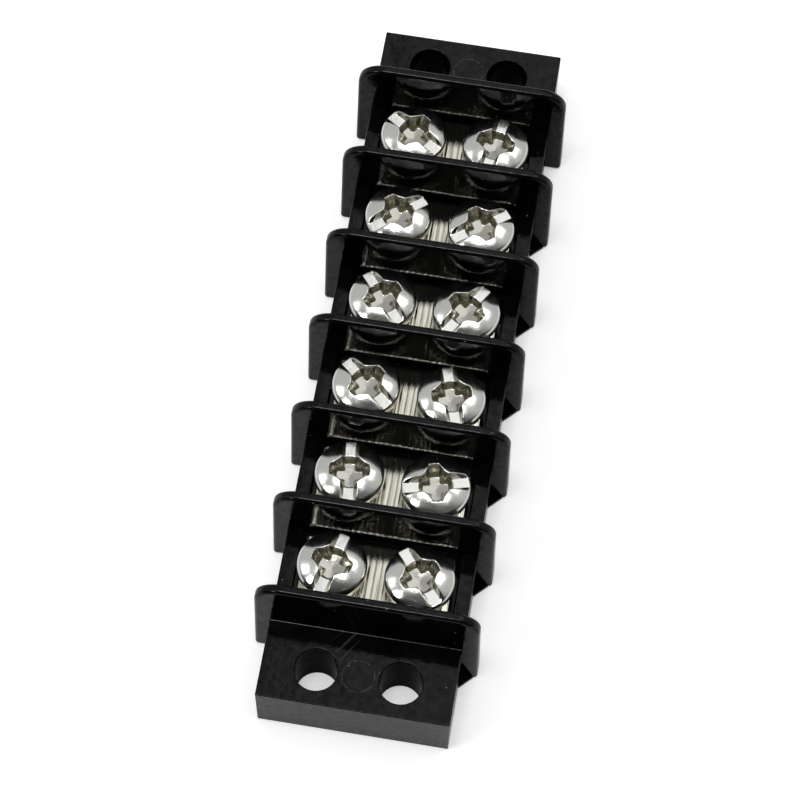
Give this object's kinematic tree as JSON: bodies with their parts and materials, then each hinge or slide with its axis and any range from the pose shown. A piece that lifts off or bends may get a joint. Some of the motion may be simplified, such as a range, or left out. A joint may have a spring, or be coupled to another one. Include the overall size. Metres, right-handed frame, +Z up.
{
  "type": "barrier terminal strip",
  "caption": "Black moulded barrier terminal strip with raised walls between bays, a plated terminal plate and two combination-recess screws in each bay, and holed end tabs.",
  "frame": {"origin": "centre of the underside, on the surface the strip is screwed to", "axes": "+X along the strip from the first pole to the last, +Y across it to the right side, +Z up out of the mounting surface"},
  "size_m": [0.0862, 0.0254, 0.0154],
  "materials": {
    "housing_plastic": "glossy black moulded thermoplastic with faint flow marks",
    "plate_metal": "nickel plated brass with fine ribs along the strip",
    "screw_metal": "bright nickel plated steel"
  },
  "bodies": {
    "strip": {"housing": "housing_plastic", "plate_1": "plate_metal", "plate_2": "plate_metal", "plate_3": "plate_metal", "plate_4": "plate_metal", "plate_5": "plate_metal", "plate_6": "plate_metal"},
    "screw_1_left": {"screw_1_left": "screw_metal"},
    "screw_1_right": {"screw_1_right": "screw_metal"},
    "screw_2_left": {"screw_2_left": "screw_metal"},
    "screw_2_right": {"screw_2_right": "screw_metal"},
    "screw_3_left": {"screw_3_left": "screw_metal"},
    "screw_3_right": {"screw_3_right": "screw_metal"},
    "screw_4_left": {"screw_4_left": "screw_metal"},
    "screw_4_right": {"screw_4_right": "screw_metal"},
    "screw_5_left": {"screw_5_left": "screw_metal"},
    "screw_5_right": {"screw_5_right": "screw_metal"},
    "screw_6_left": {"screw_6_left": "screw_metal"},
    "screw_6_right": {"screw_6_right": "screw_metal"}
  },
  "joints": [
    {"name": "screw_1_left_turn", "type": "hinge", "parent": "strip", "child": "screw_1_left", "pos_m": [-0.02775, -0.00488, 0.0096], "axis": [0, 0, 1], "range_deg": [-680, 1920]},
    {"name": "screw_1_right_turn", "type": "hinge", "parent": "strip", "child": "screw_1_right", "pos_m": [-0.02775, 0.00488, 0.0096], "axis": [0, 0, 1], "range_deg": [-680, 1920]},
    {"name": "screw_2_left_turn", "type": "hinge", "parent": "strip", "child": "screw_2_left", "pos_m": [-0.01665, -0.00488, 0.0096], "axis": [0, 0, 1], "range_deg": [-680, 1920]},
    {"name": "screw_2_right_turn", "type": "hinge", "parent": "strip", "child": "screw_2_right", "pos_m": [-0.01665, 0.00488, 0.0096], "axis": [0, 0, 1], "range_deg": [-680, 1920]},
    {"name": "screw_3_left_turn", "type": "hinge", "parent": "strip", "child": "screw_3_left", "pos_m": [-0.00555, -0.00488, 0.0096], "axis": [0, 0, 1], "range_deg": [-680, 1920]},
    {"name": "screw_3_right_turn", "type": "hinge", "parent": "strip", "child": "screw_3_right", "pos_m": [-0.00555, 0.00488, 0.0096], "axis": [0, 0, 1], "range_deg": [-680, 1920]},
    {"name": "screw_4_left_turn", "type": "hinge", "parent": "strip", "child": "screw_4_left", "pos_m": [0.00555, -0.00488, 0.0096], "axis": [0, 0, 1], "range_deg": [-680, 1920]},
    {"name": "screw_4_right_turn", "type": "hinge", "parent": "strip", "child": "screw_4_right", "pos_m": [0.00555, 0.00488, 0.0096], "axis": [0, 0, 1], "range_deg": [-680, 1920]},
    {"name": "screw_5_left_turn", "type": "hinge", "parent": "strip", "child": "screw_5_left", "pos_m": [0.01665, -0.00488, 0.0096], "axis": [0, 0, 1], "range_deg": [-680, 1920]},
    {"name": "screw_5_right_turn", "type": "hinge", "parent": "strip", "child": "screw_5_right", "pos_m": [0.01665, 0.00488, 0.0096], "axis": [0, 0, 1], "range_deg": [-680, 1920]},
    {"name": "screw_6_left_turn", "type": "hinge", "parent": "strip", "child": "screw_6_left", "pos_m": [0.02775, -0.00488, 0.0096], "axis": [0, 0, 1], "range_deg": [-680, 1920]},
    {"name": "screw_6_right_turn", "type": "hinge", "parent": "strip", "child": "screw_6_right", "pos_m": [0.02775, 0.00488, 0.0096], "axis": [0, 0, 1], "range_deg": [-680, 1920]}
  ]
}
